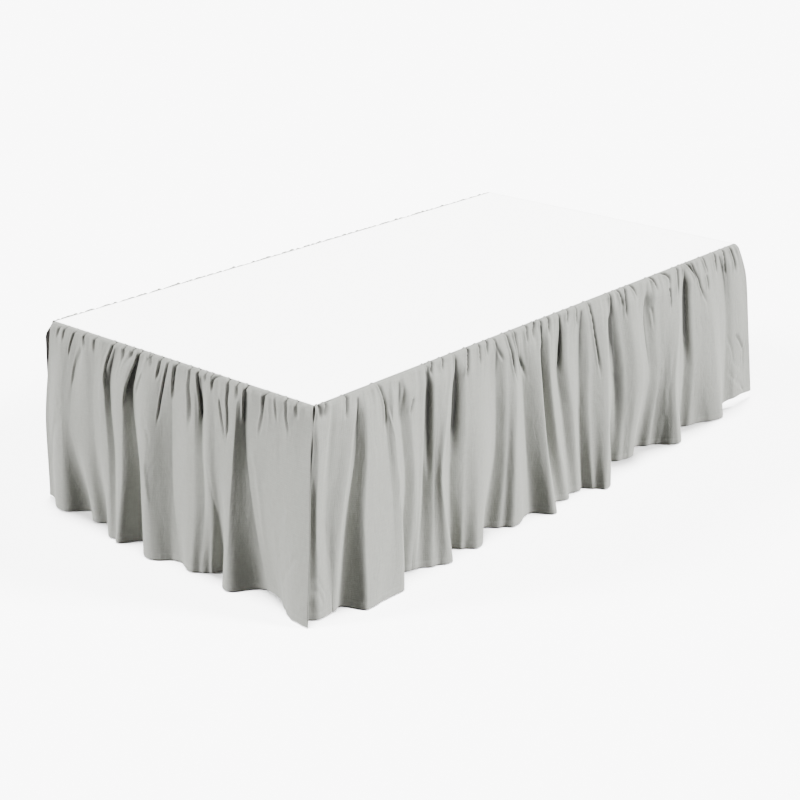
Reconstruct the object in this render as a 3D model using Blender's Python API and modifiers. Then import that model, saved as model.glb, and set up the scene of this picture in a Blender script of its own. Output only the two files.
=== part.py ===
"""A gathered bed skirt lying on a plain bed base.

The skirt is a flat deck sheet with three gathered drops sewn to its edges: one along each side
and one across the foot. The drops are split at the two foot corners, and the head end is open.
Metres. X runs across the bed, the head is at +Y and the foot at -Y, and Z is up. The origin is
on the floor under the middle of the whole, whose cloth reaches further at the head than at the
foot.
"""

import math
from typing import NamedTuple

import bpy
import numpy as np

# Where the middle of the bed base lies.
BED_X = 0.006
BED_Y = -0.054

# The bed base and its legs.
BASE_WIDTH = 0.990
BASE_LENGTH = 1.905
BASE_TOP = 0.556
BASE_HEIGHT = 0.235
BASE_CORNER_RADIUS = 0.030
BASE_EDGE_RADIUS = 0.015
LEG_SIDE = 0.050
LEG_X = 0.385
LEG_Y = 0.835
LEG_BEVEL = 0.003

# The cloth. SEAM_INSET is how far inside the base's faces the drops are sewn to the deck.
PIECE_GAP = 0.0003
DECK_THICKNESS = 0.0015
DROP_THICKNESS = 0.0020
SEAM_INSET = 0.009
HEAD_INSET = 0.003
FLOOR_GAP = 0.003
SEAM_TO_EDGE_FACE = 0.0128
EDGE_ROUND_DROP = 0.012

# The rows of a drop from its shoulder to its hem, as depths below the deck.
DROP_DEPTHS = (0.050, 0.115, 0.200, 0.300, 0.425, BASE_TOP - FLOOR_GAP)
COLUMN_PITCH = 0.024
QUICK_FLARE_SHARE = 0.30
QUICK_FLARE_DEPTH = 0.060
RUN_IN_DEPTH = 0.300
END_REACH = 0.100
END_QUICK_DEPTH = 0.050

# How far the gathers stand out at the heading, column by column, again and again.
TUCK_PUFFS = (0.0, 0.005, 0.007, 0.0, 0.004, 0.0, 0.006, 0.007, 0.003)


class Fold(NamedTuple):
    """One fold of a drop in millimetres: a rounded ridge, and the valley that follows it.

    Positions are measured along the seam from the drop's first end. The out columns say how far
    the hem stands out from the seam there, and the lean columns how far the line strays sideways
    at mid depth.
    """

    ridge_top: float
    ridge_hem: float
    ridge_out: float
    ridge_lean: float
    valley_top: float
    valley_hem: float
    valley_out: float
    valley_lean: float


class Drop(NamedTuple):
    """Where a drop is sewn, which way it faces, its folds, and how its free ends hang.

    The first end bulges outward by start_bulge. The last one spreads past the corner by
    end_spread, and its hem hangs end_lift higher.
    """

    corner: tuple
    along: tuple
    outward: tuple
    folds: tuple
    start_bulge: float
    end_spread: float
    end_lift: float


HALF_WIDTH = BASE_WIDTH / 2 - SEAM_INSET
FOOT_SEAM_Y = -(BASE_LENGTH / 2 - SEAM_INSET)
HEAD_SEAM_Y = BASE_LENGTH / 2 - HEAD_INSET

#      ridge: top   hem  out lean  valley: top  hem  out lean
RIGHT_FOLDS = (
    Fold(1, -46, 14, 0, 22, -24, 17, 0),
    Fold(62, 12, 29, 0, 131, 52, 24, -30),
    Fold(165, 103, 83, -10, 190, 165, 77, 0),
    Fold(232, 232, 81, 0, 395, 300, -2, 15),
    Fold(415, 441, 67, 4, 512, 508, 8, -15),
    Fold(540, 560, 63, 0, 716, 668, -8, 35),
    Fold(758, 738, 50, 10, 800, 832, 26, -5),
    Fold(825, 878, 82, -6, 872, 945, 36, -8),
    Fold(915, 984, 48, -4, 1010, 1035, 32, 0),
    Fold(1060, 1052, 37, 0, 1104, 1076, 33, 5),
    Fold(1186, 1120, 92, 20, 1258, 1290, -26, 0),
    Fold(1300, 1353, 6, 0, 1440, 1446, -34, -20),
    Fold(1490, 1560, 52, 0, 1579, 1672, -22, 0),
    Fold(1640, 1822, 36, -20, 1760, 1905, -6, 0),
    Fold(1830, 1945, 8, 0, 1892, 2008, 2, 6),
)
FOOT_FOLDS = (
    Fold(1, -36, 72, 14, 220, 184, -8, 6),
    Fold(252, 260, 65, 0, 391, 350, -16, 0),
    Fold(400, 406, 48, 0, 466, 474, 27, 0),
    Fold(505, 555, 70, -4, 605, 650, 4, 0),
    Fold(650, 690, 58, 0, 790, 802, -10, 20),
    Fold(818, 838, 12, 0, 862, 900, -34, 6),
    Fold(905, 970, 22, 0, 971, 1046, -8, 0),
)
LEFT_FOLDS = (
    Fold(1, 45, 84, 0, 96, 122, 14, 0),
    Fold(150, 168, 70, 0, 232, 250, 6, 10),
    Fold(275, 300, 58, 0, 365, 350, 22, 0),
    Fold(398, 412, 74, 8, 505, 520, -6, 0),
    Fold(560, 548, 48, 0, 610, 640, 24, -8),
    Fold(670, 706, 66, 0, 742, 778, 30, 0),
    Fold(790, 842, 54, -6, 905, 902, -12, 10),
    Fold(962, 968, 78, 0, 1052, 1082, 10, 0),
    Fold(1110, 1140, 50, 0, 1185, 1176, 28, 0),
    Fold(1230, 1262, 72, 10, 1340, 1368, -14, 0),
    Fold(1385, 1402, 42, 0, 1462, 1470, 12, -8),
    Fold(1515, 1556, 62, 0, 1612, 1660, -8, 0),
    Fold(1665, 1712, 46, 0, 1748, 1790, 16, 0),
    Fold(1820, 1858, 52, 0, 1892, 1916, 30, 0),
)
RIGHT_DROP = Drop((HALF_WIDTH, FOOT_SEAM_Y), (0, 1), (1, 0), RIGHT_FOLDS, 0.0, 0.060, 0.018)
LEFT_DROP = Drop((-HALF_WIDTH, FOOT_SEAM_Y), (0, 1), (-1, 0), LEFT_FOLDS, 0.042, 0.020, 0.0)
FOOT_DROP = Drop((HALF_WIDTH, FOOT_SEAM_Y), (-1, 0), (0, -1), FOOT_FOLDS, 0.0, 0.030, 0.0)


def clear_scene():
    """Removes whatever the scene holds at the start."""
    for obj in list(bpy.data.objects):
        bpy.data.objects.remove(obj, do_unlink=True)


def new_collection(name):
    """Adds a collection to the scene and returns it."""
    made = bpy.data.collections.new(name)
    bpy.context.scene.collection.children.link(made)
    return made


def plain_material(name, rgb, roughness):
    """A plain coloured material."""
    made = bpy.data.materials.new(name)
    made.use_nodes = True
    shader = made.node_tree.nodes["Principled BSDF"]
    shader.inputs["Base Color"].default_value = (*rgb, 1.0)
    shader.inputs["Roughness"].default_value = roughness
    return made


def finish(obj, name, material, collection):
    """Names the object, puts it on the bed's place, and gives it its material and collection."""
    obj.name = name
    obj.data.name = name
    obj.location = (BED_X, BED_Y, 0.0)
    obj.data.materials.append(material)
    for old in list(obj.users_collection):
        old.objects.unlink(obj)
    collection.objects.link(obj)
    return obj


def box(size, middle):
    """A box of this size about this middle, measured from the point under the bed's middle."""
    bpy.ops.mesh.primitive_cube_add(size=1.0)
    obj = bpy.context.object
    for vertex in obj.data.vertices:
        vertex.co = [m + s * c for m, s, c in zip(middle, size, vertex.co)]
    return obj


def bevel(obj, width, segments, edges=None):
    """Rounds the object's edges, or only those given by index."""
    if edges is not None:
        weights = obj.data.attributes.new("bevel_weight_edge", "FLOAT", "EDGE")
        for index in edges:
            weights.data[index].value = 1.0
    modifier = obj.modifiers.new("Bevel", "BEVEL")
    modifier.width = width
    modifier.segments = segments
    modifier.limit_method = "ANGLE" if edges is None else "WEIGHT"
    modifier.use_clamp_overlap = True


def apply_modifiers(obj):
    """Applies the object's modifiers to its mesh."""
    bpy.context.view_layer.objects.active = obj
    for modifier in list(obj.modifiers):
        bpy.ops.object.modifier_apply(modifier=modifier.name)


def upright_edges(obj):
    """The indices of the mesh's vertical edges."""
    points = [vertex.co for vertex in obj.data.vertices]
    found = []
    for edge in obj.data.edges:
        start, end = (points[index] for index in edge.vertices)
        if abs(start.x - end.x) < 1e-6 and abs(start.y - end.y) < 1e-6:
            found.append(edge.index)
    return found


def build_base(material, collection):
    """The plain base that the deck lies on: a box with rounded corners and edges."""
    size = (BASE_WIDTH, BASE_LENGTH, BASE_HEIGHT)
    obj = box(size, (0.0, 0.0, BASE_TOP - BASE_HEIGHT / 2))
    bevel(obj, BASE_CORNER_RADIUS, 5, upright_edges(obj))
    apply_modifiers(obj)
    obj.data.attributes.remove(obj.data.attributes["bevel_weight_edge"])
    modifier = obj.modifiers.new("Edges", "BEVEL")
    modifier.width = BASE_EDGE_RADIUS
    modifier.segments = 3
    modifier.limit_method = "ANGLE"
    modifier.angle_limit = math.radians(60)
    return finish(obj, "bed_base", material, collection)


def build_leg(name, x, y, material, collection):
    """One square leg from the floor to just under the base."""
    height = BASE_TOP - BASE_HEIGHT - PIECE_GAP
    obj = box((LEG_SIDE, LEG_SIDE, height), (x, y, height / 2))
    bevel(obj, LEG_BEVEL, 1)
    return finish(obj, name, material, collection)


def build_deck(material, collection):
    """The flat deck sheet on top of the base."""
    low_z = BASE_TOP + PIECE_GAP
    length = HEAD_SEAM_Y - FOOT_SEAM_Y
    size = (2 * HALF_WIDTH, length, DECK_THICKNESS)
    middle = (0.0, (HEAD_SEAM_Y + FOOT_SEAM_Y) / 2, low_z + DECK_THICKNESS / 2)
    return finish(box(size, middle), "deck", material, collection)


def smooth(value):
    """Zero below 0, one above 1, and an S between."""
    value = min(max(value, 0.0), 1.0)
    return value * value * (3 - 2 * value)


def stands_out(depth, hem_out):
    """How far a fold's line stands out from the seam at this depth below the deck.

    A valley whose hem runs in under the base starts to do so below RUN_IN_DEPTH.
    """
    deepest = DROP_DEPTHS[-1]
    below = (depth - EDGE_ROUND_DROP) / (deepest - EDGE_ROUND_DROP)
    if hem_out > SEAM_TO_EDGE_FACE:
        quick = QUICK_FLARE_SHARE * (1 - math.exp(-(depth - EDGE_ROUND_DROP) / QUICK_FLARE_DEPTH))
        growth = quick + (1 - QUICK_FLARE_SHARE) * below
    else:
        growth = smooth((depth - RUN_IN_DEPTH) / (deepest - RUN_IN_DEPTH))
    return SEAM_TO_EDGE_FACE + (hem_out - SEAM_TO_EDGE_FACE) * growth


def fold_lines(folds):
    """The folds' lines in order, in metres: (top, hem, out, lean, 1 for a ridge or 0)."""
    lines = []
    for fold in folds:
        ridge = [value / 1000 for value in fold[:4]]
        valley = [value / 1000 for value in fold[4:]]
        lines.append((*ridge, 1))
        lines.append((*valley, 0))
    return lines


def line_at(line, depth):
    """(Distance along the seam, distance out) of a fold's line at this depth."""
    top, hem, hem_out, lean, _ = line
    share = depth / DROP_DEPTHS[-1]
    along = top + (hem - top) * share + lean * 4 * share * (1 - share)
    return along, stands_out(max(depth, EDGE_ROUND_DROP), hem_out)


def across_flank(first, second, part, depth):
    """A point between two neighbouring lines: the ridge side is round, the valley side sharp."""
    along_1, out_1 = line_at(first, depth)
    along_2, out_2 = line_at(second, depth)
    if first[4]:
        blend = 1 - math.sin(math.pi / 2 * (1 - part))
    else:
        blend = math.sin(math.pi / 2 * part)
    return along_1 + (along_2 - along_1) * part, out_1 + (out_2 - out_1) * blend


def drop_columns(lines):
    """(First line, second line, share of the way between them) for each column of a drop."""
    columns = []
    for first, second in zip(lines, lines[1:]):
        width = max(abs(second[0] - first[0]), abs(second[1] - first[1]))
        steps = max(2, math.ceil(width / COLUMN_PITCH))
        columns += [(first, second, step / steps) for step in range(steps)]
    return columns + [(lines[-2], lines[-1], 1.0)]


def shoulder_rows(along, puff):
    """The rows that take the cloth from the seam over the base's edge: (along, out, up)."""
    return (
        (along, PIECE_GAP, 0.0),
        (along, 0.0060 + puff / 3, puff / 4),
        (along, 0.0102 + puff, -0.0028 + puff / 4),
        (along, SEAM_TO_EDGE_FACE + puff, -EDGE_ROUND_DROP),
    )


def drop_points(drop):
    """The drop's mid surface as an array of points, column by column and from seam to hem."""
    lines = fold_lines(drop.folds)
    length = lines[-1][0]
    seam_z = BASE_TOP + PIECE_GAP + DROP_THICKNESS / 2
    grid = []
    for index, (first, second, part) in enumerate(drop_columns(lines)):
        puff = TUCK_PUFFS[index % len(TUCK_PUFFS)]
        along_top, _ = across_flank(first, second, part, 0.0)
        near_start = 1 - smooth(along_top / END_REACH)
        near_end = smooth((along_top - length) / END_REACH + 1)
        rows = list(shoulder_rows(along_top, puff))
        for depth in DROP_DEPTHS:
            along, out = across_flank(first, second, part, depth)
            quick = 1 - math.exp(-depth / END_QUICK_DEPTH)
            share = depth / DROP_DEPTHS[-1]
            along += drop.end_spread * near_end * quick
            out += drop.start_bulge * near_start * quick * (1 - share)
            out += puff * math.exp(-depth / 0.06)
            rows.append((along, out, drop.end_lift * near_end * share**2 - depth))
        grid.append(rows)
    grid = np.array(grid)
    flat = np.array(drop.corner) + grid[..., :1] * drop.along + grid[..., 1:2] * drop.outward
    return np.concatenate([flat, seam_z + grid[..., 2:]], axis=-1)


def build_drop(name, drop, material, collection):
    """One gathered drop, as a sheet of even thickness about its mid surface."""
    points = drop_points(drop)
    columns, rows = points.shape[:2]
    bpy.ops.mesh.primitive_grid_add(x_subdivisions=columns - 1, y_subdivisions=rows - 1)
    obj = bpy.context.object
    by_row = np.ascontiguousarray(points.transpose(1, 0, 2))
    obj.data.vertices.foreach_set("co", by_row.reshape(-1))
    obj.data.update()
    modifier = obj.modifiers.new("Thickness", "SOLIDIFY")
    modifier.thickness = DROP_THICKNESS
    modifier.offset = 0.0
    return finish(obj, name, material, collection)


def main():
    """Builds the bed base, its legs and the skirt."""
    clear_scene()
    skirt = new_collection("bed_skirt")
    base_cloth = plain_material("base_cloth", (0.62, 0.60, 0.56), 0.9)
    leg_wood = plain_material("leg_wood", (0.36, 0.24, 0.15), 0.5)
    deck_cloth = plain_material("deck_cloth", (0.90, 0.90, 0.90), 0.9)
    drop_cloth = plain_material("drop_cloth", (0.55, 0.56, 0.53), 0.9)
    build_base(base_cloth, skirt)
    for along, y in (("foot", -LEG_Y), ("middle", 0.0), ("head", LEG_Y)):
        build_leg(f"leg_{along}_right", LEG_X, y, leg_wood, skirt)
        build_leg(f"leg_{along}_left", -LEG_X, y, leg_wood, skirt)
    build_deck(deck_cloth, skirt)
    build_drop("foot_panel", FOOT_DROP, drop_cloth, skirt)
    build_drop("side_panel_right", RIGHT_DROP, drop_cloth, skirt)
    build_drop("side_panel_left", LEFT_DROP, drop_cloth, skirt)


main()
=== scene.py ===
"""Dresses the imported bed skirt: three gathered cotton drops, a white deck sheet and the bed base.

The drops are thin sheets that hang in the same folds as the solids they stand for, with their
smaller tucks and creases pressed in. Lengths in the tables are millimetres, and
all else is metres. X runs across the bed, the head is at +Y and the foot at -Y.
"""

import logging
import math
from dataclasses import dataclass
from enum import Enum
from typing import NamedTuple

import bpy
import numpy as np
from mathutils import Matrix, Vector


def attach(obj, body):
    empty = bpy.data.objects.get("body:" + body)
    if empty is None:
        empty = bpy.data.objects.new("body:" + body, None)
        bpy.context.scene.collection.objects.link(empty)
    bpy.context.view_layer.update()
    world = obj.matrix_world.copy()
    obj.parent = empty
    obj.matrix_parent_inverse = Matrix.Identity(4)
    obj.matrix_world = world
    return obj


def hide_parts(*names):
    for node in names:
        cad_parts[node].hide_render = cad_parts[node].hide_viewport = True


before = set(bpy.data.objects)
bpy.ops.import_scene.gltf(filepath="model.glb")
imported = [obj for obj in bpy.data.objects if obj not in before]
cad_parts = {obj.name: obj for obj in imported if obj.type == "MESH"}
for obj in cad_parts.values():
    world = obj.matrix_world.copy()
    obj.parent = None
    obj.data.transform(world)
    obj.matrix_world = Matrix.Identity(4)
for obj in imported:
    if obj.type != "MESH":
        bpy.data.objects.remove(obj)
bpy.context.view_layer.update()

LOG = logging.getLogger("bed_skirt")
BODY = "root"
# The name of the attribute that carries the painted shade in the drops' folds.
FOLD_SHADE_ATTRIBUTE = "hollow"
MM = 0.001
PIECE_GAP = 0.0003
BASE_CLEARANCE = 0.0020

# How far down the columns of a fold line are given, and where a drop's face begins and ends.
# FACE_MM is how far the far drop's face stands out, and QUICK_MM how soon its lines flare.
UPPER_MM = 120
LOWER_MM = 320
NEAR_MM = 60
MID_MM = 250
EDGE_MM = 12
DROP_MM = 553
FACE_MM = 12.8
QUICK_MM = 35

# A crease's depth falls off as a bell this steep, and its lip stands this many widths aside.
CREASE_FALL = 2.2
LIP_PLACE = 1.5


class Slot(Enum):
    """The record's material slots."""

    DROP = "drop_cloth"
    DECK = "deck_cloth"
    BASE = "base_cloth"
    LEG = "leg_wood"


class Weave(Enum):
    """How a cloth's threads cross."""

    PLAIN = "plain"
    TWILL = "twill"


class FoldLine(NamedTuple):
    """One line of a drop, a ridge or a valley, from the heading to the hem.

    top, upper, lower and hem are distances along the seam from the drop's first end: at the
    heading, 120 mm and 320 mm down, and at the hem. near, mid and out are how far the line stands
    out from the seam 60 mm and 250 mm down and at the hem. before and after say how fully the
    cloth rolls towards the neighbouring lines: 1 is a plain wave, 2 an upright flank, and more
    laps over. sharp is 0 for a round line and 1 for a pressed one.
    """

    top: float
    upper: float
    lower: float
    hem: float
    near: float
    mid: float
    out: float
    before: float
    after: float
    sharp: float


class FarLine(NamedTuple):
    """One line of the far drop, in millimetres, set by fewer sizes than a fold line.

    top and hem are its ends along the seam, and lean is how far it strays between them. out is
    how far its hem stands out, and quick is the part of that which comes just under the seam.
    """

    top: float
    hem: float
    lean: float
    out: float
    quick: float
    before: float
    after: float
    sharp: float

    def along(self, down: float) -> int:
        """Its distance along the seam this far down."""
        share = down / DROP_MM
        return round(self.top + (self.hem - self.top) * share + 4 * self.lean * share * (1 - share))

    def stands(self, down: float) -> int:
        """How far it stands out this far down, where a valley that runs in has not yet begun to."""
        early = self.quick * (1 - math.exp(-(down - EDGE_MM) / QUICK_MM))
        grown = (down - EDGE_MM) / (DROP_MM - EDGE_MM) if self.out > FACE_MM else 0.0
        return round(FACE_MM + early + (self.out - FACE_MM - self.quick) * grown)

    def line(self) -> FoldLine:
        """The whole fold line."""
        places = (self.top, self.along(UPPER_MM), self.along(LOWER_MM), self.hem)
        outs = (self.stands(NEAR_MM), self.stands(MID_MM), self.out)
        return FoldLine(*places, *outs, self.before, self.after, self.sharp)


class Crease(NamedTuple):
    """A trough pressed in the cloth, in millimetres along the cloth and down it.

    It runs from top along and start down to foot along and end down, and its middle lies bow
    further along than the straight line. sink is its depth, negative for a ridge. near and far
    are its widths on the side of the drop's first end and on the other one. lip is the height
    of the roll beside it, on the first end's side, or on the other one if it is negative.
    """

    top: float
    start: float
    foot: float
    end: float
    bow: float
    sink: float
    near: float
    far: float
    lip: float

    def path(self) -> np.ndarray:
        """Finds places on its curve.

        Returns:
            Five of them, in metres along the cloth and down it.
        """
        share = np.linspace(0.0, 1.0, 5)
        along = self.top + (self.foot - self.top) * share + 4 * self.bow * share * (1 - share)
        return np.stack([along, self.start + (self.end - self.start) * share], axis=1) * MM


def linear(hex_colour: str) -> tuple[float, float, float, float]:
    """Turns an sRGB hex colour into linear values.

    Args:
        hex_colour: Six hex digits after a hash sign.

    Returns:
        Linear red, green, blue and an alpha of 1.
    """
    values = [int(hex_colour[i : i + 2], 16) / 255 for i in (1, 3, 5)]
    red, green, blue = (v / 12.92 if v <= 0.04045 else ((v + 0.055) / 1.055) ** 2.4 for v in values)
    return red, green, blue, 1.0


def add_node(
    material: bpy.types.Material,
    kind: str,
    settings: dict[str, object] | None = None,
    links: dict[str | int, bpy.types.NodeSocket] | None = None,
) -> bpy.types.Node:
    """Adds a node to a material.

    Args:
        material: The material whose tree gets the node.
        kind: The node's Blender type.
        settings: Values by input name, or by property name with a leading dot.
        links: Sockets that feed the node's inputs, by input name or place.

    Returns:
        The new node.
    """
    node = material.node_tree.nodes.new(kind)
    for name, value in (settings or {}).items():
        if name.startswith("."):
            setattr(node, name[1:], value)
        else:
            node.inputs[name].default_value = value
    for name, socket in (links or {}).items():
        material.node_tree.links.new(socket, node.inputs[name])
    return node


def smooth(value: np.ndarray | float) -> np.ndarray:
    """Zero below 0, one above 1, and an S between."""
    held = np.clip(value, 0.0, 1.0)
    return held * held * (3 - 2 * held)


def ease(depth: np.ndarray, stations: tuple[float, ...], values: tuple[float, ...]) -> np.ndarray:
    """Smooth values between stations, without overshoot.

    Args:
        depth: Where the values are wanted.
        stations: Rising depths.
        values: The value at each station.

    Returns:
        The value at each depth.
    """
    steps = np.diff(stations)
    rises = np.diff(values) / steps
    slopes = [rises[0]]
    for before, after in zip(rises, rises[1:]):
        slopes.append(0.0 if before * after <= 0 else 2 * before * after / (before + after))
    slopes.append(rises[-1])
    held = np.clip(depth, stations[0], stations[-1])
    place = np.clip(np.searchsorted(stations, held, side="right") - 1, 0, len(steps) - 1)
    step = steps[place]
    part = (held - np.array(stations)[place]) / step
    first = np.array(values)[place]
    second = np.array(values)[place + 1]
    leave = np.array(slopes)[place] * step
    reach = np.array(slopes)[place + 1] * step
    bend = part * (1 - part)
    return first + (second - first) * smooth(part) + bend * (leave * (1 - part) - reach * part)


def soft_noise(u: np.ndarray, v: np.ndarray, size: tuple[float, float], seed: int) -> np.ndarray:
    """Smooth noise from -1 to 1 over a flat sheet, the same on every run.

    Args:
        u: Positions along the sheet.
        v: Positions down the sheet.
        size: The noise's grain in each direction, in the same unit.
        seed: Which noise.

    Returns:
        The noise at each position.
    """
    lattice = np.random.default_rng(seed).uniform(-1, 1, (64, 256))
    x = u / size[0] + 7.3
    y = v / size[1] + 5.1
    column = np.floor(x).astype(int)
    row = np.floor(y).astype(int)
    fx = smooth(x - column)
    fy = smooth(y - row)
    corners = [lattice[(row + j) % 64, (column + i) % 256] for j in (0, 1) for i in (0, 1)]
    upper = corners[0] * (1 - fx) + corners[1] * fx
    lower = corners[2] * (1 - fx) + corners[3] * fx
    return upper * (1 - fy) + lower * fy


@dataclass(frozen=True)
class CottonFinish:
    """Woven cotton: matt, slightly fuzzy at grazing angles, with uneven threads and soft wrinkles.

    Real threads lie about 0.35 mm apart, too fine to show, so they are drawn thread_mm apart.
    Where a painted-shade colour is given, the colour darkens towards it deep in the folds, as painted
    shade.
    """

    name: str
    colour: str
    shade: str
    roughness: float
    sheen: float
    weave: Weave
    thread_mm: float
    weave_depth: float
    wrinkle_mm: float
    wrinkle_depth: float
    painted_shade_colour: str = ""

    def make(self) -> bpy.types.Material:
        """Makes the cloth's material on the piece's UV map, which is in metres of cloth.

        Returns:
            The material.
        """
        material = bpy.data.materials.new(self.name)
        material.use_nodes = True
        shader = material.node_tree.nodes["Principled BSDF"]
        shader.inputs["Roughness"].default_value = self.roughness
        shader.inputs["IOR"].default_value = 1.45
        shader.inputs["Specular IOR Level"].default_value = 0.3
        shader.inputs["Sheen Weight"].default_value = self.sheen
        shader.inputs["Sheen Roughness"].default_value = 0.5
        shader.inputs["Sheen Tint"].default_value = linear(self.colour)
        place = add_node(material, "ShaderNodeTexCoord").outputs["UV"]
        slub = self.slubs(material, place)
        tint = add_node(
            material,
            "ShaderNodeMix",
            {".data_type": "RGBA", "A": linear(self.shade), "B": linear(self.colour)},
            {"Factor": slub},
        )
        coloured = tint.outputs["Result"]
        # Painted shade: the colour darkens towards the painted-shade colour by how deep in a fold the
        # vertex lies.
        if self.painted_shade_colour:
            hollow = add_node(
                material, "ShaderNodeAttribute", {".attribute_name": FOLD_SHADE_ATTRIBUTE, ".attribute_type": "GEOMETRY"}
            )
            coloured = add_node(
                material,
                "ShaderNodeMix",
                {".data_type": "RGBA", "B": linear(self.painted_shade_colour)},
                {"Factor": hollow.outputs["Fac"], "A": coloured},
            ).outputs["Result"]
        material.node_tree.links.new(coloured, shader.inputs["Base Color"])
        threads = self.threads(material, place)
        material.node_tree.links.new(self.bumps(material, place, threads), shader.inputs["Normal"])
        return material

    def slubs(self, material: bpy.types.Material, place: bpy.types.NodeSocket) -> bpy.types.NodeSocket:
        """Adds the faint mottle of thick and thin threads.

        Args:
            material: The cloth's material.
            place: The position on the cloth.

        Returns:
            A socket from 0, shaded, to 1, full colour.
        """
        factors = []
        for stretch in ((1.0, 0.12, 1.0), (0.12, 1.0, 1.0)):
            along = add_node(material, "ShaderNodeMapping", {"Scale": stretch}, {"Vector": place})
            noise = add_node(
                material,
                "ShaderNodeTexNoise",
                {"Scale": 260.0, "Detail": 3.0, "Roughness": 0.6},
                {"Vector": along.outputs["Vector"]},
            )
            factors.append(noise.outputs["Fac"])
        both = add_node(material, "ShaderNodeMath", {".operation": "ADD"}, {0: factors[0], 1: factors[1]})
        spread = add_node(
            material,
            "ShaderNodeMapRange",
            {"From Min": 0.75, "From Max": 1.25},
            {"Value": both.outputs["Value"]},
        )
        return spread.outputs["Result"]

    def threads(self, material: bpy.types.Material, place: bpy.types.NodeSocket) -> bpy.types.NodeSocket:
        """Adds the crossing threads.

        Args:
            material: The cloth's material.
            place: The position on the cloth.

        Returns:
            A socket with the threads' height.
        """
        # A wave texture turns this many radians in a metre at a scale of 1.
        wave_radians = 20
        per_metre = math.tau / (wave_radians * self.thread_mm * MM)
        heights = []
        for direction in ("X", "Y"):
            wave = add_node(
                material,
                "ShaderNodeTexWave",
                {".bands_direction": direction, "Scale": per_metre, "Distortion": 0.4, "Detail": 1.0},
                {"Vector": place},
            )
            heights.append(wave.outputs["Fac"])
        how = "MULTIPLY" if self.weave is Weave.PLAIN else "ADD"
        return add_node(
            material, "ShaderNodeMath", {".operation": how}, {0: heights[0], 1: heights[1]}
        ).outputs["Value"]

    def bumps(
        self,
        material: bpy.types.Material,
        place: bpy.types.NodeSocket,
        threads: bpy.types.NodeSocket,
    ) -> bpy.types.NodeSocket:
        """Adds the small wrinkles of worn cloth under the threads.

        Args:
            material: The cloth's material.
            place: The position on the cloth.
            threads: The threads' height.

        Returns:
            The normal for the shader.
        """
        drawn = add_node(material, "ShaderNodeMapping", {"Scale": (1.0, 0.45, 1.0)}, {"Vector": place})
        creases = add_node(
            material,
            "ShaderNodeTexNoise",
            {"Scale": 1000 / self.wrinkle_mm, "Detail": 4.0, "Roughness": 0.55, "Distortion": 0.6},
            {"Vector": drawn.outputs["Vector"]},
        )
        wrinkled = add_node(
            material,
            "ShaderNodeBump",
            {"Strength": 1.0, "Distance": self.wrinkle_depth * MM},
            {"Height": creases.outputs["Fac"]},
        )
        woven = add_node(
            material,
            "ShaderNodeBump",
            {"Strength": 1.0, "Distance": self.weave_depth * MM},
            {"Height": threads, "Normal": wrinkled.outputs["Normal"]},
        )
        return woven.outputs["Normal"]


@dataclass(frozen=True)
class WoodFinish:
    """Stained beech for the legs: fine grain that runs down each leg, under a satin coat."""

    name: str
    colour: str
    grain: str
    grain_mm: float

    def make(self) -> bpy.types.Material:
        """Makes the wood's material on Object coordinates.

        Returns:
            The material.
        """
        material = bpy.data.materials.new(self.name)
        material.use_nodes = True
        shader = material.node_tree.nodes["Principled BSDF"]
        shader.inputs["Roughness"].default_value = 0.42
        shader.inputs["Coat Weight"].default_value = 0.15
        shader.inputs["Coat Roughness"].default_value = 0.3
        place = add_node(material, "ShaderNodeTexCoord").outputs["Object"]
        drawn = add_node(material, "ShaderNodeMapping", {"Scale": (1.0, 1.0, 0.06)}, {"Vector": place})
        noise = add_node(
            material,
            "ShaderNodeTexNoise",
            {"Scale": 1000 / self.grain_mm, "Detail": 5.0, "Roughness": 0.65, "Distortion": 0.4},
            {"Vector": drawn.outputs["Vector"]},
        )
        tint = add_node(
            material,
            "ShaderNodeMix",
            {".data_type": "RGBA", "A": linear(self.grain), "B": linear(self.colour)},
            {"Factor": noise.outputs["Fac"]},
        )
        bump = add_node(
            material,
            "ShaderNodeBump",
            {"Strength": 0.3, "Distance": 0.0003},
            {"Height": noise.outputs["Fac"]},
        )
        material.node_tree.links.new(tint.outputs["Result"], shader.inputs["Base Color"])
        material.node_tree.links.new(bump.outputs["Normal"], shader.inputs["Normal"])
        return material


# Plain-woven cotton, dyed and washed: a matt warm grey with a faint slub and short soft wrinkles, and a
# near-black painted shade deep in its tucks and folds.
DROP_COTTON = CottonFinish(
    name="warm_grey_cotton", colour="#A2A39D", shade="#999A94", roughness=0.85, sheen=0.15,
    weave=Weave.PLAIN, thread_mm=5.03, weave_depth=0.15, wrinkle_mm=26.0, wrinkle_depth=1.6,
    # This near-black colour is painted shade for the deep tucks and folds.
    painted_shade_colour="#2E2E2B",
)
# Bleached plain-woven cotton, pressed: a flat, matt white with hardly any wrinkle.
DECK_COTTON = CottonFinish(
    name="white_cotton", colour="#F6F6F5", shade="#F0F0EF", roughness=0.88, sheen=0.10,
    weave=Weave.PLAIN, thread_mm=5.03, weave_depth=0.10, wrinkle_mm=60.0, wrinkle_depth=0.8,
)
# Upholstery twill stretched over the base: a dull mid grey, coarser than the drops.
BASE_COVER = CottonFinish(
    name="grey_base_cover", colour="#8F8E8A", shade="#7E7D79", roughness=0.92, sheen=0.20,
    weave=Weave.TWILL, thread_mm=7.54, weave_depth=0.35, wrinkle_mm=40.0, wrinkle_depth=0.3,
)
# Planed and stained beech: warm brown, with fine darker grain under a satin coat.
LEG_BEECH = WoodFinish(name="stained_beech", colour="#7A5638", grain="#4E3421", grain_mm=9.0)


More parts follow.
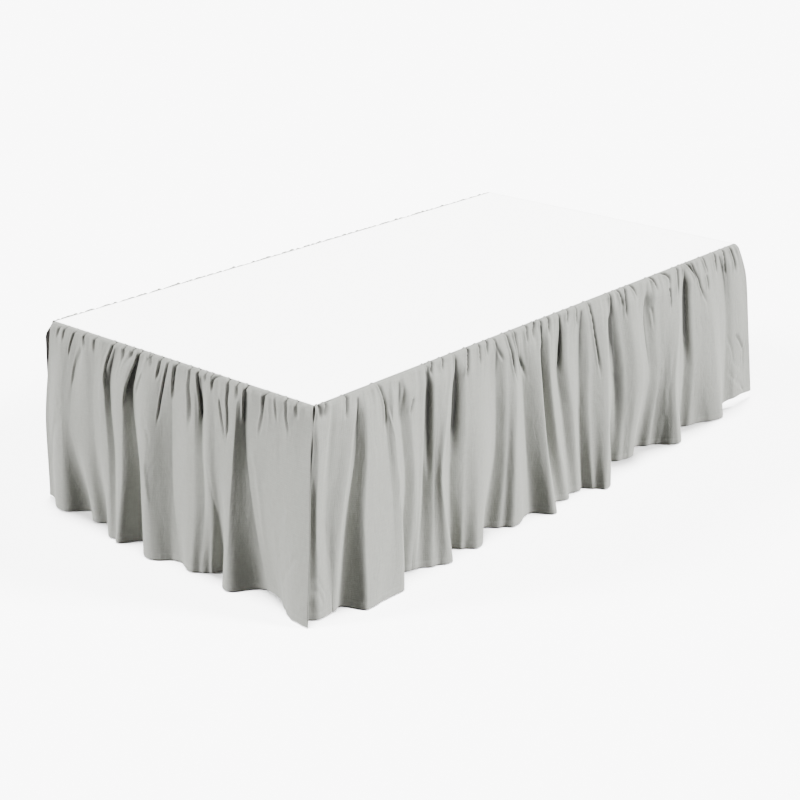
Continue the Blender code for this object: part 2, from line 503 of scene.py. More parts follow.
@dataclass
class SkirtPlace:
    """Where the bed and its skirt lie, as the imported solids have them."""

    middle_x: float = 0.006
    middle_y: float = -0.054
    half_width: float = 0.486
    foot_seam: float = -0.9435
    head_seam: float = 0.9495
    base_top: float = 0.556
    drop: float = DROP_MM / 1000
    face_out: float = 0.009


PLACE = SkirtPlace()


# Right: the long side that faces the camera, from the foot corner to the head.
#         top upper lower  hem near mid out before after sharp
RIGHT_LINES = (
    FoldLine(1, -20, -34, -56, 12, 9, 6, 1.0, 1.0, 0.0),
    FoldLine(8, -7, -22, -18, 18, 23, 28, 1.0, 1.2, 0.0),
    FoldLine(46, 34, 12, 22, 17, 19, 26, 1.2, 1.2, 0.4),
    FoldLine(126, 94, 52, 32, 30, 38, 26, 1.2, 0.7, 0.2),
    FoldLine(138, 133, 92, 62, 12, 14, 16, 1.8, 1.2, 0.8),
    FoldLine(162, 154, 120, 100, 27, 48, 82, 1.2, 1.2, 0.0),
    FoldLine(231, 226, 222, 165, 20, 46, 78, 1.0, 1.0, 0.4),
    FoldLine(262, 244, 248, 232, 30, 54, 81, 1.2, 0.8, 0.3),
    FoldLine(289, 293, 306, 300, 14, 22, -2, 1.6, 1.2, 0.7),
    FoldLine(314, 320, 332, 336, 27, 36, 16, 1.0, 0.8, 0.2),
    FoldLine(380, 374, 362, 348, 24, 28, 20, 1.2, 0.8, 0.2),
    FoldLine(393, 392, 384, 356, 12, 12, 22, 1.8, 1.2, 0.9),
    FoldLine(414, 414, 404, 396, 28, 34, 46, 1.0, 1.2, 0.1),
    FoldLine(492, 458, 418, 443, 29, 50, 67, 1.2, 0.8, 0.3),
    FoldLine(514, 510, 496, 508, 12, 12, 8, 2.0, 1.0, 0.9),
    FoldLine(540, 538, 532, 528, 28, 34, 36, 1.0, 1.2, 0.1),
    FoldLine(578, 578, 578, 560, 26, 42, 63, 1.2, 1.4, 0.0),
    FoldLine(679, 681, 689, 668, 16, 14, -8, 1.4, 1.2, 0.7),
    FoldLine(710, 714, 716, 706, 26, 34, 28, 1.2, 1.2, 0.1),
    FoldLine(740, 746, 738, 736, 28, 46, 52, 1.4, 0.8, 0.2),
    FoldLine(770, 793, 812, 832, 16, 20, 27, 1.4, 1.0, 0.6),
    FoldLine(858, 850, 858, 878, 29, 52, 84, 1.2, 0.8, 0.3),
    FoldLine(874, 884, 910, 945, 12, 12, 34, 2.0, 1.2, 0.9),
    FoldLine(897, 902, 930, 984, 27, 37, 49, 1.0, 0.8, 0.2),
    FoldLine(962, 955, 988, 1021, 15, 16, 30, 1.8, 1.2, 0.9),
    FoldLine(984, 982, 1018, 1050, 26, 36, 41, 1.2, 0.8, 0.2),
    FoldLine(1062, 1062, 1060, 1078, 13, 20, 31, 1.8, 1.0, 0.9),
    FoldLine(1090, 1090, 1084, 1094, 24, 40, 60, 1.0, 1.2, 0.0),
    FoldLine(1170, 1160, 1146, 1119, 31, 60, 92, 1.2, 0.8, 0.3),
    FoldLine(1203, 1218, 1246, 1284, 12, 12, -26, 2.0, 1.2, 0.8),
    FoldLine(1232, 1252, 1290, 1322, 18, 30, -2, 1.0, 1.2, 0.0),
    FoldLine(1290, 1302, 1336, 1356, 28, 42, 8, 1.2, 1.2, 0.0),
    FoldLine(1387, 1392, 1424, 1446, 14, 25, -30, 1.4, 1.2, 0.5),
    FoldLine(1412, 1420, 1458, 1480, 27, 32, -6, 1.0, 1.2, 0.1),
    FoldLine(1560, 1540, 1518, 1553, 28, 50, 54, 1.2, 0.8, 0.3),
    FoldLine(1584, 1598, 1628, 1672, 12, 12, -22, 2.0, 1.2, 0.9),
    FoldLine(1608, 1624, 1660, 1706, 27, 28, -2, 1.0, 1.2, 0.1),
    FoldLine(1690, 1717, 1765, 1822, 24, 36, 37, 1.2, 0.9, 0.2),
    FoldLine(1778, 1832, 1866, 1905, 14, 12, -6, 1.4, 1.2, 0.8),
    FoldLine(1835, 1865, 1918, 1950, 22, 20, 8, 1.3, 1.3, 0.0),
    FoldLine(1892, 1962, 2006, 2062, 14, 12, 2, 1.0, 1.0, 0.0),
)
# Foot: from the corner that faces the camera to the far one.
FOOT_LINES = (
    FoldLine(1, -6, -24, -38, 14, 36, 74, 1.0, 1.6, 0.0),
    FoldLine(215, 227, 209, 184, 12, 12, -8, 1.4, 1.8, 0.8),
    FoldLine(243, 242, 251, 260, 26, 46, 66, 0.7, 1.6, 0.3),
    FoldLine(326, 318, 312, 347, 22, 36, -12, 1.2, 1.2, 0.1),
    FoldLine(350, 342, 334, 364, 24, 42, 20, 1.2, 1.2, 0.0),
    FoldLine(380, 376, 362, 386, 13, 30, 34, 1.2, 1.2, 0.8),
    FoldLine(402, 392, 392, 410, 25, 40, 49, 1.0, 1.4, 0.1),
    FoldLine(463, 494, 500, 474, 13, 15, 27, 1.2, 1.2, 0.6),
    FoldLine(563, 570, 568, 555, 26, 50, 70, 1.0, 1.6, 0.2),
    FoldLine(606, 650, 634, 648, 12, 14, 4, 1.4, 1.4, 0.8),
    FoldLine(620, 666, 666, 692, 26, 43, 60, 1.0, 1.6, 0.2),
    FoldLine(702, 736, 714, 711, 13, 24, 46, 1.4, 1.4, 0.8),
    FoldLine(711, 746, 731, 730, 23, 37, 49, 0.8, 1.4, 0.2),
    FoldLine(782, 795, 803, 802, 18, 26, -10, 1.4, 1.2, 0.4),
    FoldLine(819, 822, 837, 838, 21, 30, 12, 1.2, 1.4, 0.0),
    FoldLine(849, 880, 908, 900, 15, 24, -34, 1.4, 1.4, 0.4),
    FoldLine(918, 928, 942, 970, 22, 29, 22, 1.0, 1.4, 0.0),
    FoldLine(971, 1000, 1050, 1082, 12, 2, -26, 1.0, 1.0, 0.0),
)
# Left: the far long side, from the foot corner to the head, after its first line.
#        top hem lean out quick before after sharp
LEFT_ROWS = (
    FarLine(96, 122, 0, 14, 0, 2.0, 1.4, 0.7),
    FarLine(150, 168, 0, 70, 20, 1.4, 2.2, 0.0),
    FarLine(232, 250, 10, 6, 0, 2.2, 1.2, 0.7),
    FarLine(275, 300, 0, 58, 16, 1.4, 1.6, 0.0),
    FarLine(365, 350, 0, 22, 2, 1.4, 1.2, 0.4),
    FarLine(398, 412, 8, 74, 20, 1.4, 2.2, 0.0),
    FarLine(505, 520, 0, -6, 0, 2.4, 1.4, 0.8),
    FarLine(560, 548, 0, 48, 12, 1.4, 1.4, 0.0),
    FarLine(610, 640, -8, 24, 4, 1.4, 1.2, 0.4),
    FarLine(670, 706, 0, 66, 18, 1.4, 1.8, 0.0),
    FarLine(742, 778, 0, 30, 4, 1.6, 1.2, 0.5),
    FarLine(790, 842, -6, 54, 16, 1.4, 1.6, 0.0),
    FarLine(905, 902, 10, -12, 0, 1.8, 1.4, 0.7),
    FarLine(962, 968, 0, 78, 22, 1.4, 2.2, 0.0),
    FarLine(1052, 1082, 0, 10, 0, 2.6, 1.2, 0.8),
    FarLine(1110, 1140, 0, 50, 14, 1.4, 1.4, 0.0),
    FarLine(1185, 1176, 0, 28, 4, 1.4, 1.2, 0.3),
    FarLine(1230, 1262, 10, 72, 20, 1.4, 2.2, 0.0),
    FarLine(1340, 1368, 0, -14, 0, 2.2, 1.2, 0.8),
    FarLine(1385, 1402, 0, 42, 12, 1.4, 1.4, 0.0),
    FarLine(1462, 1470, -8, 12, 2, 1.4, 1.2, 0.5),
    FarLine(1515, 1556, 0, 62, 18, 1.4, 2.0, 0.0),
    FarLine(1612, 1660, 0, -8, 0, 2.2, 1.2, 0.7),
    FarLine(1665, 1712, 0, 46, 12, 1.4, 1.4, 0.0),
    FarLine(1748, 1790, 0, 16, 2, 1.4, 1.2, 0.4),
    FarLine(1820, 1858, 0, 52, 14, 1.4, 1.4, 0.0),
    FarLine(1892, 1916, 0, 30, 8, 1.0, 1.0, 0.0),
)
LEFT_LINES = (
    FoldLine(1, 11, 26, 45, 54, 76, 84, 1.0, 1.6, 0.0),
    *(row.line() for row in LEFT_ROWS),
)

#          top start foot end bow sink near far lip
RIGHT_CREASES = (
    Crease(5, 460, 20, 515, -3, 3, 4.5, 5.5, 1.3),
    Crease(5, 440, 40, 505, -6, 3, 4.5, 5.5, 1.3),
    Crease(12, -10, 15, 35, 0, 6, 4.5, 7, 3.2),
    Crease(34, -10, 24, 35, -4, 5, 4.5, 6, 2.6),
    Crease(45, -10, 33, 235, 4, 3, 8, 16, 0),
    Crease(100, -10, 92, 55, 3, 6, 4.5, 8, 3.2),
    Crease(208, -10, 226, 125, 14, 6, 4.5, 9.5, 3.9),
    Crease(245, 55, 250, 345, 30, 3, 4.5, 12.5, 1),
    Crease(303, 25, 283, 130, 0, 2.8, 4.5, 7, 1),
    Crease(335, 65, 310, 110, -1, 4.5, 4.5, 6, 1.3),
    Crease(400, -10, 402, 325, -3, 5, 4.5, 11, 3),
    Crease(428, -10, 412, 32, -7, 6.8, 4.5, 6, 3.2),
    Crease(467, -10, 457, 32, -4, 6.8, 4.5, 6, 3.2),
    Crease(510, -10, 518, 305, 0, 6, 4.5, 12, 3.2),
    Crease(568, -10, 540, 75, -2, 9, 4.5, 7, 3.9),
    Crease(612, -10, 595, 55, 1, 6.8, 4.5, 6, 3.2),
    Crease(650, -10, 641, 38, -8, 6, 4.5, 6, 2.6),
    Crease(673, -10, 704, 73, -4, 4, 4.5, 6, 2),
    Crease(727, -10, 748, 145, -3, 9, 4.5, 9.5, 3.9),
    Crease(760, -10, 792, 148, -16, 8.2, 4.5, 9.5, 3.2),
    Crease(820, -10, 808, 50, -6, 6, 4.5, 6, 2.6),
    Crease(860, -10, 838, 43, -10, 6, 4.5, 6, 2.6),
    Crease(880, -10, 876, 85, -9, 6, 4.5, 7, 2.6),
    Crease(916, -10, 900, 47, -1, 6.8, 4.5, 7, 3.2),
    Crease(960, -10, 962, 180, 3, 8.2, 4.5, 8, 3.9),
    Crease(1002, -10, 988, 38, 0, 6.8, 4.5, 6, 3.2),
    Crease(1038, -10, 1055, 58, -6, 6, 4.5, 6, 2.6),
    Crease(1096, -10, 1142, 230, -2, 8.2, 4.5, 7, 3.9),
    Crease(1200, 25, 1218, 520, 0, 5.4, 8, 32, 1),
    Crease(1204, -10, 1210, 77, -5, 6.8, 4.5, 6, 2.6),
    Crease(1240, -10, 1252, 55, 4, 6.8, 4.5, 6, 3.2),
    Crease(1278, -10, 1265, 90, -4, 7.5, 4.5, 7, 3.2),
    Crease(1306, -10, 1328, 42, 2, 6, 4.5, 6, 2.6),
    Crease(1362, 275, 1396, 322, 0, 1.5, 4.5, 7, 0),
    Crease(1385, 30, 1388, 315, -14, 4.6, 5, 22, 1),
    Crease(1396, 318, 1500, 309, 0, 1.5, 4.5, 7, 0),
    Crease(1400, 83, 1406, 165, 4, 2.5, 4.5, 6, 0.8),
    Crease(1406, -10, 1430, 46, 5, 6.8, 4.5, 6, 3.2),
    Crease(1458, -10, 1498, 48, 26, 6, 4.5, 6, 2.6),
    Crease(1499, 45, 1511, 115, 5, 6.8, 4.5, 7, 2.6),
    Crease(1548, -10, 1553, 87, 0, 6.8, 4.5, 6, 3.2),
    Crease(1581, -10, 1587, 355, 1, 6.5, 4.5, 13, 3),
    Crease(1600, -10, 1634, 63, 6, 6.8, 4.5, 6, 3.2),
    Crease(1623, -10, 1686, 152, -6, 6.8, 4.5, 8, 2.6),
    Crease(1689, 51, 1688, 110, 6, 5, 4.5, 7, 2.6),
    Crease(1693, -10, 1700, 54, -3, 6.8, 4.5, 6, 3.2),
    Crease(1761, -10, 1752, 68, -5, 6, 4.5, 6, 2.6),
    Crease(1782, 308, 1823, 410, 6, 3, 4.5, 5.5, 1.3),
    Crease(1790, 438, 1863, 541, 8, 3, 4.5, 5.5, 1.3),
    Crease(1803, 388, 1874, 476, 0, 3, 4.5, 5.5, 1.3),
    Crease(1812, -10, 1787, 88, -3, 6.8, 4.5, 7, 3.2),
    Crease(1831, 305, 1869, 400, 3, 3.8, 4.5, 5.5, 1.3),
    Crease(1845, -10, 1848, 93, 1, 6, 4.5, 6, 2.6),
    Crease(1867, 427, 1825, 499, 0, 3, 4.5, 5.5, 1.3),
    Crease(1880, 350, 1870, 447, -13, 3, 4.5, 5.5, 1.3),
)
FOOT_CREASES = (
    Crease(27, 375, 130, 497, -12, 2, 8, 6, 0),
    Crease(51, -10, 31, 48, 2, 4, 6.5, 3.5, -2),
    Crease(87, -10, 54, 95, -1, 5.2, 7, 3.5, -2.5),
    Crease(115, -10, 103, 72, 3, 3.4, 6.5, 3.5, -1.5),
    Crease(150, -10, 178, 125, 2, 5.2, 7, 3.5, -2.5),
    Crease(198, 130, 198, 472, -9, -2.5, 14, 12, 0),
    Crease(222, -10, 217, 108, -1, 6.9, 7, 3.5, -3),
    Crease(253, -10, 240, 44, 3, 4.6, 6.5, 3.5, -2),
    Crease(287, -10, 272, 162, -8, 5.8, 6.5, 3.5, -2.5),
    Crease(312, 46, 274, 167, 6, 5.2, 6.5, 3.5, -2),
    Crease(317, -10, 330, 46, 14, 5.8, 5.5, 3.5, -2.5),
    Crease(345, -10, 337, 25, 0, 5.2, 5.5, 3.5, -2.5),
    Crease(358, 230, 327, 423, 0, 1.5, 7, 3.5, 0),
    Crease(367, -10, 361, 25, 0, 4.6, 5.5, 3.5, -2),
    Crease(394, -10, 383, 140, -3, 6.9, 7, 3.5, -3),
    Crease(424, -10, 414, 165, -6, 5.2, 6.5, 3.5, -2.5),
    Crease(474, -10, 461, 110, 1, 6.3, 8, 3.5, -3),
    Crease(502, -10, 520, 188, -8, 5.2, 7, 3.5, -2),
    Crease(533, -10, 528, 61, 0, 5.2, 6.5, 3.5, -2.5),
    Crease(569, -10, 558, 35, 3, 4, 5.5, 3.5, -2),
    Crease(570, 170, 538, 237, 4, 3.4, 7, 3.5, -1),
    Crease(578, -10, 570, 17, 0, 4, 5.5, 3.5, -2),
    Crease(580, 53, 598, 132, 2, 3.4, 5.5, 3.5, -1),
    Crease(597, 222, 552, 423, -12, -3, 12, 10, 0),
    Crease(612, -10, 619, 170, -6, 6.9, 8, 3.5, -3),
    Crease(642, -10, 626, 29, 4, 4.6, 6.5, 3.5, -2.5),
    Crease(676, -10, 655, 43, 3, 4.6, 6.5, 3.5, -2.5),
    Crease(717, -10, 706, 141, 2, 6.3, 9, 3.5, -3),
    Crease(785, -10, 781, 49, 9, 3.8, 5, 3, -1.6),
    Crease(829, -10, 820, 43, 8, 4, 5, 3, -1.6),
    Crease(838, 38, 850, 173, 5, 3.4, 13, 5, -1),
    Crease(871, -10, 881, 83, 1, 3.8, 5, 3.5, -1.5),
    Crease(907, -10, 913, 45, 5, 4, 5, 3, -1.6),
    Crease(922, 256, 963, 454, 3, 3, 12, 8, 0),
    Crease(926, 220, 907, 242, -4, 3, 8, 6, 0),
    Crease(929, -10, 938, 41, 3, 3, 7, 3.5, -1.2),
)


def left_creases() -> tuple[Crease, ...]:
    """Sets the far side's tucks, uneven ones about 60 mm apart.

    Returns:
        One crease for each tuck.
    """
    gaps = (63, 58, 82, 66, 45, 55, 74, 49, 52)
    lengths = (90, 55, 75, 40, 62, 85, 50)
    sinks = (5.5, 4.5, 4.0, 5.0, 3.5)
    leans = (2, 5, -4, 6, 0, -7, 3, -2)
    creases = []
    inset = 22
    top = inset
    while top < LEFT_ROWS[-1].top - inset:
        turn = len(creases)
        end = lengths[turn % len(lengths)]
        sink = sinks[turn % len(sinks)]
        creases.append(Crease(top, -10, top + leans[turn % len(leans)], end, 0, sink, 4.5, 9, sink / 2))
        top += gaps[turn % len(gaps)]
    return tuple(creases)


@dataclass
class GatheredDrop:
    """One gathered drop: where it is sewn, how it hangs, and its size in the hand."""

    name: str
    corner: tuple[float, float]
    along: tuple[float, float]
    outward: tuple[float, float]
    lines: tuple[FoldLine, ...]
    creases: tuple[Crease, ...]
    seed: int
    pitch: float
    lifts: tuple[tuple[float, float], ...] = ((0.0, 0.0), (1.0, 0.0))
    start_flare: float = 0.0
    puff: float = 2.8
    thickness: float = 0.0009
    seam_to_face: float = 0.0132
    edge_round: float = EDGE_MM / 1000
    seam_run: float = 0.013
    hem_height: float = 0.018
    corner_reach: float = 0.035
    # How wide the painted shade along a pressed fold line is.
    painted_tuck_shade_width: float = 0.0042

    def rows(self) -> np.ndarray:
        """Spaces the rows, closest over the base's edge and at the hem.

        Returns:
            Their depths below the seam's height, seam first and negative over the edge.
        """
        heading_end = 0.110
        over = np.linspace(-self.seam_run, self.edge_round, 9)
        upper = np.linspace(self.edge_round, heading_end, 19)[1:]
        lower = np.linspace(heading_end, PLACE.drop - 0.026, 38)[1:]
        hem = PLACE.drop - np.array([0.0202, 0.0180, 0.0160, 0.0095, 0.0012, 0.0])
        return np.concatenate([over, upper, lower, hem])

    def spread_columns(self) -> list[tuple[int, float]]:
        """Spaces the columns between the lines, about a pitch apart at their widest.

        Returns:
            Each column's line, and its share of the way to the next one.
        """
        columns = []
        for index, (first, second) in enumerate(zip(self.lines, self.lines[1:])):
            hem = math.hypot(second.hem - first.hem, second.out - first.out)
            low = math.hypot(second.lower - first.lower, second.mid - first.mid)
            width = max(abs(second.top - first.top), low, hem) * MM
            steps = max(4, math.ceil(width / self.pitch))
            columns += [(index, step / steps) for step in range(steps)]
        return columns + [(len(self.lines) - 2, 1.0)]

    def line_at(self, line: FoldLine, depth: np.ndarray) -> tuple[np.ndarray, np.ndarray]:
        """Where a line runs.

        Args:
            line: The ridge or valley.
            depth: Depths below the deck.

        Returns:
            Its distances along the seam and out from it.
        """
        turns = (0.0, UPPER_MM * MM, LOWER_MM * MM, PLACE.drop)
        along = ease(depth, turns, (line.top, line.upper, line.lower, line.hem))
        rises = (self.edge_round, NEAR_MM * MM, MID_MM * MM, PLACE.drop)
        out = ease(depth, rises, (self.seam_to_face / MM, line.near, line.mid, line.out))
        return along * MM, out * MM

    def surface(self) -> np.ndarray:
        """Shapes the drop's middle surface before its small folds.

        Returns:
            Its points by row and column, each as distances along, out and up.
        """
        rows = self.rows()
        depth = np.maximum(rows, 0.0)
        columns = self.spread_columns()
        grid = np.zeros((len(rows), len(columns), 3))
        fullness = smooth(rows / 0.060)
        rounding = smooth((rows - 0.34) / 0.20)
        turn = np.clip((rows + self.seam_run) / (self.seam_run + self.edge_round), 0, 1)
        over = rows < self.edge_round
        onto_face = np.sin(turn * math.pi / 2)
        flare = self.start_flare * onto_face * (1 - smooth(rows / 0.09 - 0.3))
        for place, (index, part) in enumerate(columns):
            first, second = self.lines[index], self.lines[index + 1]
            along_1, out_1 = self.line_at(first, depth)
            along_2, out_2 = self.line_at(second, depth)
            h01 = part * part * (3 - 2 * part)
            h10 = part * (1 - part) ** 2
            h11 = part * part * (part - 1)
            leave = 1 + (first.after - 1) * fullness
            reach = 1 + (second.before - 1) * fullness
            leave = leave + (max(first.after, 1.5) - leave) * rounding
            reach = reach + (max(second.before, 1.3) - reach) * rounding
            gap = along_2 - along_1
            top_gap = (second.top - first.top) * MM
            size = np.maximum(np.abs(gap), 0.25 * top_gap)
            along = along_1 + gap * h01 + size * (leave * h10 + reach * h11)
            blend = h01 + 1.5 * (1 - 0.7 * rounding) * (first.sharp * h10 + second.sharp * h11)
            out = out_1 + (out_2 - out_1) * blend
            top = (first.top + (second.top - first.top) * part) * MM
            lift = float(np.interp(top / MM, *zip(*self.lifts))) * MM
            up = lift * (depth / PLACE.drop) ** 2 - depth
            along[over] = top + (along[over] - top) * smooth(turn[over])
            out[over] = PIECE_GAP + (self.seam_to_face - PIECE_GAP) * onto_face[over]
            up[over] = -self.edge_round * (1 - np.cos(turn[over] * math.pi / 2))
            along -= flare * (1 - smooth(top / self.corner_reach))
            grid[:, place, 0] = along
            grid[:, place, 1] = out
            grid[:, place, 2] = up
        return grid

    def cloth_places(self) -> tuple[np.ndarray, np.ndarray]:
        """Finds each vertex's place on the cloth.

        Returns:
            Its distances along from the first end, and down from the deck.
        """
        tops = [
            (self.lines[i].top + (self.lines[i + 1].top - self.lines[i].top) * part) * MM
            for i, part in self.spread_columns()
        ]
        return np.meshgrid(np.array(tops), self.rows())

    @staticmethod
    def normals(grid: np.ndarray) -> np.ndarray:
        """Finds the unit normals of a surface, on the side that faces out.

        Args:
            grid: Its points by row and column.

        Returns:
            The normal at each point.
        """
        down = np.gradient(grid, axis=0)
        side = np.gradient(grid, axis=1)
        across = np.cross(side, down)
        across /= np.maximum(np.linalg.norm(across, axis=2, keepdims=True), 1e-9)
        return -across if across[..., 1].mean() < 0 else across

    @staticmethod
    def from_path(crease: Crease, along: np.ndarray, down: np.ndarray) -> tuple[np.ndarray, np.ndarray]:
        """How far the cloth lies from a crease.

        Args:
            crease: The crease.
            along: Each vertex's place along the cloth.
            down: Each vertex's place down the cloth.

        Returns:
            The distance, negative on the first end's side, and the share of the path gone by.
        """
        path = crease.path()
        steps = np.diff(path, axis=0)
        legs = np.linalg.norm(steps, axis=1)
        starts = np.concatenate([[0.0], np.cumsum(legs)])
        nearest = np.full_like(along, 1e9)
        offset = np.zeros_like(along)
        run = np.zeros_like(along)
        for (x, y), (dx, dy), leg, start in zip(path, steps, legs, starts):
            part = np.clip(((along - x) * dx + (down - y) * dy) / leg**2, 0, 1)
            aside = along - x - part * dx
            below = down - y - part * dy
            far = np.hypot(aside, below)
            closer = far < nearest
            side = np.where(aside * dy - below * dx < 0, -1.0, 1.0)
            offset = np.where(closer, far * side, offset)
            run = np.where(closer, (start + part * leg) / starts[-1], run)
            nearest = np.minimum(nearest, far)
        return offset, run

    def crease_depths(self, along: np.ndarray, down: np.ndarray) -> np.ndarray:
        """How far the creases press the cloth in.

        Args:
            along: Each vertex's place along the cloth.
            down: Each vertex's place down the cloth.

        Returns:
            The depth at each vertex.
        """
        total = np.zeros_like(along)
        for crease in self.creases:
            offset, run = self.from_path(crease, along, down)
            opened = 1.0 if crease.start < 0 else smooth(run / 0.15)
            closed = 1.0 if crease.end * MM > PLACE.drop - self.hem_height else smooth((1 - run) / 0.3)
            width = np.where(offset < 0, crease.near, crease.far) * MM
            across = crease.sink * np.exp(-CREASE_FALL * (offset / width) ** 2)
            if crease.lip:
                roll = crease.near if crease.lip > 0 else crease.far
                middle = -LIP_PLACE * math.copysign(roll, crease.lip) * MM
                across -= abs(crease.lip) * np.exp(-CREASE_FALL * ((offset - middle) / (roll * MM)) ** 2)
            total += across * MM * opened * closed
        return total

    def painted_fold_shade(self) -> np.ndarray:
        """Finds how much painted shade darkens each vertex, by how deep in a fold it lies.

        The tucks are cloth doubled over on itself, deeper and thinner than this sheet can be, and
        the wide troughs are deeper too, so painted shade in the cloth's colour stands in for the
        light that they lose.

        Returns:
            A share of painted shade from 0, open, to 1, deep in a fold.
        """
        along, down = self.cloth_places()
        total = np.zeros_like(along)
        # Painted shade along each pressed fold line, strongest near the heading.
        for line in self.lines:
            if line.sharp >= 0.7:
                reach = 0.10 + 0.12 * (line.sharp - 0.7) / 0.2
                held = 1 - smooth((down - reach * 0.4) / reach)
                held = held * smooth((down - 0.008) / 0.012)
                total += 0.9 * held * np.exp(-(((along - line.top * MM) / self.painted_tuck_shade_width) ** 2))
        # Painted shade in each deep crease with a roll beside it, narrow on the roll's side and wider on
        # the other.
        for crease in self.creases:
            if crease.sink < 3.5 or not crease.lip:
                continue
            offset, run = self.from_path(crease, along, down)
            wide = max(1.3 * self.pitch, 0.0006 * (max(crease.near, crease.far) - 6))
            width = np.where(offset * crease.lip < 0, 0.65 * self.pitch, wide)
            held = smooth(run / 0.12) * smooth((1 - run) / 0.45)
            total += 0.16 * crease.sink * held * np.exp(-((offset / width) ** 2))
        return np.clip(total, 0.0, 1.0)

    def hem_relief(self, along: np.ndarray, down: np.ndarray) -> np.ndarray:
        """How the turned hem lifts the cloth.

        Args:
            along: Each vertex's place along the cloth.
            down: Each vertex's place down the cloth.

        Returns:
            The rise at each vertex.
        """
        height = PLACE.drop - down
        band = 0.25 * smooth((self.hem_height + 0.001 - height) / 0.002)
        stitches = 0.35 * np.exp(-(((height - self.hem_height) / 0.0014) ** 2))
        pucker = soft_noise(along, np.zeros_like(down), (0.017, 1.0), self.seed + 5)
        return (band - stitches + 1.3 * pucker * np.exp(-height / 0.030)) * MM

    def place_points(self, grid: np.ndarray) -> np.ndarray:
        """Places the drop in the frame.

        Args:
            grid: Its points as distances along, out and up.

        Returns:
            The same points in the frame.
        """
        seam_z = PLACE.base_top + PIECE_GAP + self.thickness / 2
        middle = np.array([PLACE.middle_x, PLACE.middle_y]) + np.array(self.corner)
        flat = middle + grid[..., :1] * self.along + grid[..., 1:2] * self.outward
        return np.concatenate([flat, seam_z + grid[..., 2:]], axis=-1)

    def shaped(self) -> np.ndarray:
        """Adds the small folds, the creases and some unevenness to the middle surface.

        Returns:
            Its points by row and column, each as distances along, out and up.
        """
        grid = self.surface()
        along, down = self.cloth_places()
        loose = smooth(down / 0.08)
        wave = 1.5 * soft_noise(along, down, (0.055, 0.21), self.seed)
        wave += 0.8 * soft_noise(along, down, (0.023, 0.10), self.seed + 1)
        ruffle = soft_noise(along, down * 0.3, (0.011, 0.03), self.seed + 2)
        heading = np.exp(-((down - 0.016) ** 2) / 0.05**2)
        past_seam = smooth((down + self.seam_run) / self.edge_round)
        swell = loose * wave * MM + heading * (self.puff + 2.4 * ruffle) * MM * past_seam
        swell += self.hem_relief(along, down) - self.crease_depths(along, down)
        grid = grid + self.normals(grid) * swell[..., None]
        return self.clear_of_base(grid)

    def clear_of_base(self, grid: np.ndarray) -> np.ndarray:
        """Keeps the cloth clear of the base's face, and lets it wrap round the corners.

        Args:
            grid: The drop's points as distances along, out and up.

        Returns:
            The same points, moved out where they were too near.
        """
        length = self.lines[-1].top * MM
        wall = PLACE.face_out + BASE_CLEARANCE + self.thickness / 2
        beyond = np.maximum(-grid[..., 0], grid[..., 0] - length) - wall
        limit = wall - 1.2 * np.maximum(beyond, 0.0)
        beside = (grid[..., 2] < -0.008) & (grid[..., 2] > -0.245)
        grid[..., 1] = np.where(beside, np.maximum(grid[..., 1], limit), grid[..., 1])
        return grid

    def build(self) -> bpy.types.Object:
        """Makes the sheet from a grid, with its cloth map, and gives it its thickness.

        Returns:
            The finished piece.
        """
        points = self.place_points(self.shaped())
        rows, columns = points.shape[:2]
        bpy.ops.object.select_all(action="DESELECT")
        bpy.ops.mesh.primitive_grid_add(x_subdivisions=columns - 1, y_subdivisions=rows - 1)
        piece = bpy.context.object
        piece.name = self.name
        piece.data.name = self.name
        piece.data.vertices.foreach_set("co", np.ascontiguousarray(points).reshape(-1))
        self.lay_map(piece, points)
        # The painted shade for the deep folds, kept on each vertex for the cloth's colour.
        hollow = piece.data.attributes.new(FOLD_SHADE_ATTRIBUTE, "FLOAT", "POINT")
        hollow.data.foreach_set("value", np.ascontiguousarray(self.painted_fold_shade()).reshape(-1))
        piece.data.update()
        self.turn_outward(piece)
        modifier = piece.modifiers.new("Thickness", "SOLIDIFY")
        modifier.thickness = self.thickness
        modifier.offset = 0.0
        bpy.ops.object.modifier_apply(modifier=modifier.name)
        bpy.ops.object.shade_smooth()
        return piece

    def lay_map(self, piece: bpy.types.Object, points: np.ndarray) -> None:
        """Lays the cloth's own map on the piece, in metres of cloth.

        Args:
            piece: The sheet before its thickness.
            points: Its vertices by row and column.
        """
        middle = points.shape[0] // 2
        steps = np.linalg.norm(np.diff(points[middle:], axis=1), axis=2).max(axis=0)
        across = np.concatenate([[0.0], np.cumsum(steps)])
        falls = np.linalg.norm(np.diff(points, axis=0), axis=2).mean(axis=1)
        down = np.concatenate([[0.0], np.cumsum(falls)])
        self.flat_size = (float(across[-1]), float(down[-1]))
        flat = np.stack(np.meshgrid(across, down[-1] - down), axis=-1).reshape(-1, 2)
        corners = np.zeros(len(piece.data.loops), dtype=np.int64)
        piece.data.loops.foreach_get("vertex_index", corners)
        piece.data.uv_layers[0].data.foreach_set("uv", flat[corners].reshape(-1))

    def turn_outward(self, piece: bpy.types.Object) -> None:
        """Turns the sheet's faces to the side away from the bed.

        Args:
            piece: The sheet before its thickness.
        """
        facing = np.zeros(len(piece.data.polygons) * 3)
        piece.data.polygons.foreach_get("normal", facing)
        if (facing.reshape(-1, 3)[:, :2] @ np.array(self.outward)).mean() < 0:
            piece.data.flip_normals()

    def dress(self, piece: bpy.types.Object, material: bpy.types.Material) -> None:
        """Gives the piece its cloth and its place in the frame.

        Args:
            piece: The finished piece.
            material: Its cloth.
        """
        piece.data.materials.append(material)
        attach(piece, BODY)
        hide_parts(self.name.replace("_cloth", ""))


